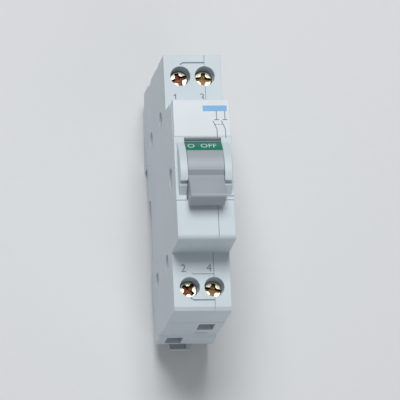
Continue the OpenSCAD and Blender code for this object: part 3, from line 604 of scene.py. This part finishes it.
@dataclass
class Markings:
    """Printed numbers, words, stripe and switch symbol."""

    finishes: Finishes
    number_height: float = mm(2.4)
    word_height: float = mm(2.0)
    ink: float = mm(0.02)
    capital_share: float = 0.69
    curve_steps: int = 4
    letter_cuts: int = 7
    flag_out: float = mm(0.6)
    flag_down: float = mm(0.55)
    flag_drop: float = mm(0.12)
    flag_line: float = mm(0.26)
    stripe_y: float = mm(19.5)
    stripe_from: float = mm(0.45)
    stripe_to: float = mm(7.9)
    stripe_width: float = mm(1.8)
    pole_1_x: float = mm(4.6)
    pole_2_x: float = mm(7.2)
    symbol_y: float = mm(14.4)
    word_x: float = mm(1.4)
    mark_x: float = mm(-4.0)
    off_deg: float = 41.0
    on_deg: float = -126.0
    face_z: float = field(init=False)
    nose_z: float = field(init=False)
    barrel_axis_z: float = field(init=False)
    barrel_r: float = field(init=False)

    def __post_init__(self) -> None:
        """Read the heights and the barrel's radius from the frame."""
        toggle_joint = next(j for j in frame["joints"] if j["name"] == "toggle_hinge")
        self.barrel_axis_z = toggle_joint["pos_m"][2]
        self.nose_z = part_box("label_cap")[1].z
        access_hole = next(m for m in frame["record"]["mounts"] if m["name"] == "driver_hole_1")
        self.face_z = access_hole["pos_m"][2] + mm(access_hole["dims"]["length_mm"]) / 2
        corners = (vertex.co for vertex in frame["nodes"]["flag_off"].data.vertices)
        self.barrel_r = max(math.hypot(c.y, c.z - self.barrel_axis_z) for c in corners)

    def text_mesh(self, words: str, height: float) -> bpy.types.Mesh:
        """Make flat lettering with its middle at the origin.

        Args:
            words: the letters or digits.
            height: height of a capital.

        Returns:
            A mesh in the XY plane, as thick as the ink.
        """
        curve = bpy.data.curves.new("lettering", "FONT")
        curve.body = words
        curve.size = height / self.capital_share
        curve.extrude = self.ink / 2
        curve.align_x = "CENTER"
        curve.align_y = "CENTER"
        curve.resolution_u = self.curve_steps
        holder = bpy.data.objects.new("lettering", curve)
        bpy.context.scene.collection.objects.link(holder)
        bpy.context.view_layer.update()
        graph = bpy.context.evaluated_depsgraph_get()
        mesh = bpy.data.meshes.new_from_object(holder.evaluated_get(graph))
        bpy.data.objects.remove(holder)
        bpy.data.curves.remove(curve)
        return mesh

    def flat(self, name: str, words: str, place: Vector, height: float,
             material: bpy.types.Material) -> None:
        """Print words on a face that looks along +Z.

        Args:
            name: the piece's name.
            words: the letters or digits.
            place: middle of the words on the face.
            height: height of a capital.
            material: the ink.
        """
        mesh = self.text_mesh(words, height)
        mesh.transform(Matrix.Translation(place + Vector((0, 0, self.ink / 2))))
        new_piece(name, mesh, material, "housing")

    def round_barrel(self, name: str, words: str, x: float, angle_deg: float, height: float) -> None:
        """Print words on the barrel's skin.

        Args:
            name: the piece's name.
            words: the letters or digits.
            x: middle of the words along the barrel.
            angle_deg: middle of the words round the barrel, from the front towards the top end.
            height: height of a capital.
        """
        bm = bmesh.new()
        bm.from_mesh(self.text_mesh(words, height))
        bmesh.ops.remove_doubles(bm, verts=bm.verts, dist=mm(0.001))
        # Cuts across the letters let them follow the round
        for i in range(self.letter_cuts):
            level = height * ((i + 1) / (self.letter_cuts + 1) - 0.5)
            parts = list(bm.verts) + list(bm.edges) + list(bm.faces)
            bmesh.ops.bisect_plane(bm, geom=parts, plane_co=(0, level, 0), plane_no=(0, 1, 0))
        for vertex in bm.verts:
            angle = math.radians(angle_deg) + vertex.co.y / self.barrel_r
            radius = self.barrel_r + self.ink / 2 + vertex.co.z
            vertex.co = Vector((x + vertex.co.x, radius * math.sin(angle),
                                self.barrel_axis_z + radius * math.cos(angle)))
        mesh = bpy.data.meshes.new(name)
        bm.to_mesh(mesh)
        bm.free()
        new_piece(name, mesh, self.finishes.ink_white, "toggle")

    def bars(self, name: str, strokes: Iterable[tuple[Vector, Vector, float]], z: float,
             material: bpy.types.Material) -> None:
        """Print straight strokes on a face that looks along +Z.

        Args:
            name: the piece's name.
            strokes: the two ends and the width of each stroke.
            z: height of the face.
            material: the ink.
        """
        def build(bm: bmesh.types.BMesh) -> None:
            """Add one thin block for each stroke.

            Args:
                bm: the mesh that takes them.
            """
            for start, end, width in strokes:
                along = end - start
                middle = (start + end) / 2
                turn = Matrix.Rotation(math.atan2(along.y, along.x), 4, "Z")
                size = Matrix.Diagonal((along.length, width, self.ink, 1))
                place = Matrix.Translation((middle.x, middle.y, z + self.ink / 2))
                bmesh.ops.create_cube(bm, size=1, matrix=place @ turn @ size)

        new_piece(name, mesh_from(build, name), material, "housing")

    def symbol_strokes(self, x: float, y: float) -> list[tuple[Vector, Vector, float]]:
        """Draw the general symbol of one pole of a switch disconnector.

        Args:
            x: place of the pole's line across the module.
            y: middle of the symbol along the module.

        Returns:
            Strokes for the two leads, the bar at the fixed contact and the open blade.
        """
        line = mm(0.26)
        reach = mm(4.3)
        gap = mm(1.5)
        lean = mm(1.15)
        blade = 0.8 * gap
        bar = mm(0.75)
        return [
            (Vector((x, y + gap, 0)), Vector((x, y + reach, 0)), line),
            (Vector((x - bar, y + gap, 0)), Vector((x + bar, y + gap, 0)), line),
            (Vector((x, y - gap, 0)), Vector((x, y - reach, 0)), line),
            (Vector((x, y - gap, 0)), Vector((x - lean, y + blade, 0)), line),
        ]

    def symbol_link(self, x0: float, x1: float, y: float) -> list[tuple[Vector, Vector, float]]:
        """Draw the dashed link between the blades of two poles.

        Args:
            x0: place of the left pole's line.
            x1: place of the right pole's line.
            y: middle of the symbol along the module.

        Returns:
            Strokes for the dashes.
        """
        line = mm(0.22)
        dashes = 3
        inked = 0.6
        step = (x1 - x0) / dashes
        start = x0 - mm(0.55)
        return [(Vector((start + step * i, y, 0)), Vector((start + step * (i + inked), y, 0)), line)
                for i in range(dashes)]

    def print_faces(self) -> None:
        """Print the terminals' numbers on the housing's faces."""
        ink = self.finishes.ink_grey
        # Middle of each digit across and along the module, in millimetres
        numbers = {"1": (-5.6, 26.9), "2": (-5.6, -27.4), "3": (2.7, 26.9), "4": (2.4, -27.3)}
        for digit, (x, y) in numbers.items():
            self.flat(f"terminal_number_{digit}", digit, Vector((mm(x), mm(y), self.face_z)),
                      self.number_height, ink)
        # The typeface's 1 is a plain bar, so its flag is a stroke of its own
        x, y = numbers["1"]
        top = Vector((mm(x), mm(y) + self.number_height / 2, 0))
        flag = (top - Vector((self.flag_out, self.flag_down, 0)), top - Vector((0, self.flag_drop, 0)),
                self.flag_line)
        self.bars("terminal_number_1_flag", [flag], self.face_z, ink)

    def print_cap(self) -> None:
        """Print the stripe and the switch symbol on the label cap."""
        stripe = (Vector((self.stripe_from, self.stripe_y, 0)), Vector((self.stripe_to, self.stripe_y, 0)),
                  self.stripe_width)
        self.bars("stripe", [stripe], self.nose_z, self.finishes.ink_blue)
        poles = (self.pole_1_x, self.pole_2_x)
        strokes = [s for x in poles for s in self.symbol_strokes(x, self.symbol_y)]
        strokes += self.symbol_link(*poles, self.symbol_y)
        self.bars("switch_symbol", strokes, self.nose_z, self.finishes.ink_grey)

    def print_barrel(self) -> None:
        """Print the words on the barrel's green and red inserts."""
        prints = (
            ("word_off", "OFF", self.word_x, self.off_deg, "green_plastic"),
            ("mark_off", "O", self.mark_x, self.off_deg, "green_plastic"),
            ("word_on", "ON", self.word_x, self.on_deg, "red_plastic"),
            ("mark_on", "I", self.mark_x, self.on_deg, "red_plastic"),
        )
        for name, words, x, angle_deg, slot in prints:
            self.round_barrel(name, words, x, angle_deg, self.word_height)

    def build(self) -> None:
        """Print everything."""
        self.print_faces()
        self.print_cap()
        self.print_barrel()


@dataclass
class Camera:
    """Long lens over the front of the module, at the photograph's viewing angle.

    The angles, the distance and the lens were fitted to corners that the photograph shows.
    """

    yaw_deg: float = 8.787
    tilt_deg: float = 14.731
    roll_deg: float = -2.622
    distance: float = 2.1744
    lens_mm: float = 636.8
    sensor_mm: float = 36.0
    aim: Vector = field(default_factory=lambda: Vector((0, mm(-0.65), mm(43))))
    aim_right: float = mm(0.903)
    aim_up: float = mm(-4.606)
    nearest: float = 0.01
    farthest: float = 20.0

    def build(self) -> bpy.types.Object:
        """Place the camera and make it the scene's own.

        Returns:
            The camera.
        """
        yaw, tilt, roll = (math.radians(v) for v in (self.yaw_deg, self.tilt_deg, self.roll_deg))
        back = Vector((-math.sin(yaw) * math.cos(tilt), -math.sin(tilt), math.cos(yaw) * math.cos(tilt)))
        level = Vector((0, 1, 0)).cross(back).normalized()
        upright = back.cross(level)
        right = math.cos(roll) * level + math.sin(roll) * upright
        up = -math.sin(roll) * level + math.cos(roll) * upright
        turn = Matrix((right, up, back)).transposed().to_4x4()
        centre = self.aim + self.aim_right * right + self.aim_up * up
        data = bpy.data.cameras.new("camera")
        data.lens = self.lens_mm
        data.sensor_width = self.sensor_mm
        data.sensor_fit = "HORIZONTAL"
        data.clip_start = self.nearest
        data.clip_end = self.farthest
        camera = bpy.data.objects.new("camera", data)
        camera.matrix_world = Matrix.Translation(centre + self.distance * back) @ turn
        bpy.context.scene.collection.objects.link(camera)
        bpy.context.scene.camera = camera
        return camera


@dataclass
class Studio:
    """Pale floor, soft lamps and an even pale world."""

    lowest: float
    floor_gap: float = mm(0.02)
    floor_size: float = 6.0
    fibre_mm: float = 3.0
    fibre_tone: float = 0.01
    paper_roughness: float = 0.9
    key_place: Vector = field(default_factory=lambda: Vector((-0.1, 0.46, 1.08)))
    key_power: float = 9.0
    key_width: float = 0.5
    fill_place: Vector = field(default_factory=lambda: Vector((0.25, -0.95, 0.55)))
    fill_power: float = 1.9
    fill_width: float = 0.9
    world_strength: float = 0.24

    def lamp(self, name: str, place: Vector, power: float, size: float) -> None:
        """Hang a square soft lamp that looks at the object.

        Args:
            name: the lamp's name.
            place: where it hangs.
            power: its power in watts.
            size: its width.
        """
        data = bpy.data.lights.new(name, "AREA")
        data.energy = power
        data.size = size
        lamp = bpy.data.objects.new(name, data)
        turn = place.to_track_quat("Z", "Y").to_matrix().to_4x4()
        lamp.matrix_world = Matrix.Translation(place) @ turn
        bpy.context.scene.collection.objects.link(lamp)

    def floor(self) -> None:
        """Lay the floor just under the object."""
        def build(bm: bmesh.types.BMesh) -> None:
            """Add one large square.

            Args:
                bm: the mesh that takes it.
            """
            bmesh.ops.create_grid(bm, x_segments=1, y_segments=1, size=self.floor_size / 2,
                                  matrix=Matrix.Translation((0, 0, self.lowest - self.floor_gap)))

        material, tree = blank_material("matt_paper")
        coords = add_node(tree, "ShaderNodeTexCoord")
        fibre = add_node(tree, "ShaderNodeTexNoise",
                         values={"Scale": 1 / mm(self.fibre_mm), "Detail": 3.0},
                         links={"Vector": coords.outputs["Object"]})
        tone = add_node(tree, "ShaderNodeMapRange",
                        values={"To Min": 1 - self.fibre_tone, "To Max": 1 + self.fibre_tone},
                        links={"Value": fibre.outputs["Fac"]})
        colour = add_node(tree, "ShaderNodeHueSaturation", values={"Color": linear(Shade.FLOOR.value)},
                          links={"Value": tone.outputs["Result"]})
        shader = add_node(tree, "ShaderNodeBsdfPrincipled", values={"Roughness": self.paper_roughness},
                          links={"Base Color": colour.outputs["Color"]})
        add_node(tree, "ShaderNodeOutputMaterial", links={"Surface": shader.outputs["BSDF"]})
        mesh = mesh_from(build, "floor")
        mesh.materials.append(material)
        floor = bpy.data.objects.new("floor", mesh)
        bpy.context.scene.collection.objects.link(floor)
        floor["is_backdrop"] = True

    def build(self) -> None:
        """Set up the floor, the lamps, the world and the view transform."""
        self.floor()
        self.lamp("key", self.key_place, self.key_power, self.key_width)
        self.lamp("fill", self.fill_place, self.fill_power, self.fill_width)
        world = bpy.data.worlds.new("studio")
        world.use_nodes = True
        tree = world.node_tree
        tree.nodes.clear()
        shader = add_node(tree, "ShaderNodeBackground",
                          values={"Color": linear(Shade.WORLD.value), "Strength": self.world_strength})
        add_node(tree, "ShaderNodeOutputWorld", links={"Surface": shader.outputs["Background"]})
        bpy.context.scene.world = world
        bpy.context.scene.view_settings.view_transform = "Standard"


def main() -> None:
    logging.basicConfig(level=logging.INFO, format="%(name)s: %(message)s")
    cad_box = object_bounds()
    head_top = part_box("terminal_screw_1")[1].z
    finishes = Finishes(head_top)
    Camera().build()
    dress(finishes)
    round_edges()
    Markings(finishes).build()
    Studio(lowest=cad_box[0][2]).build()


if __name__ == "__main__":
    main()
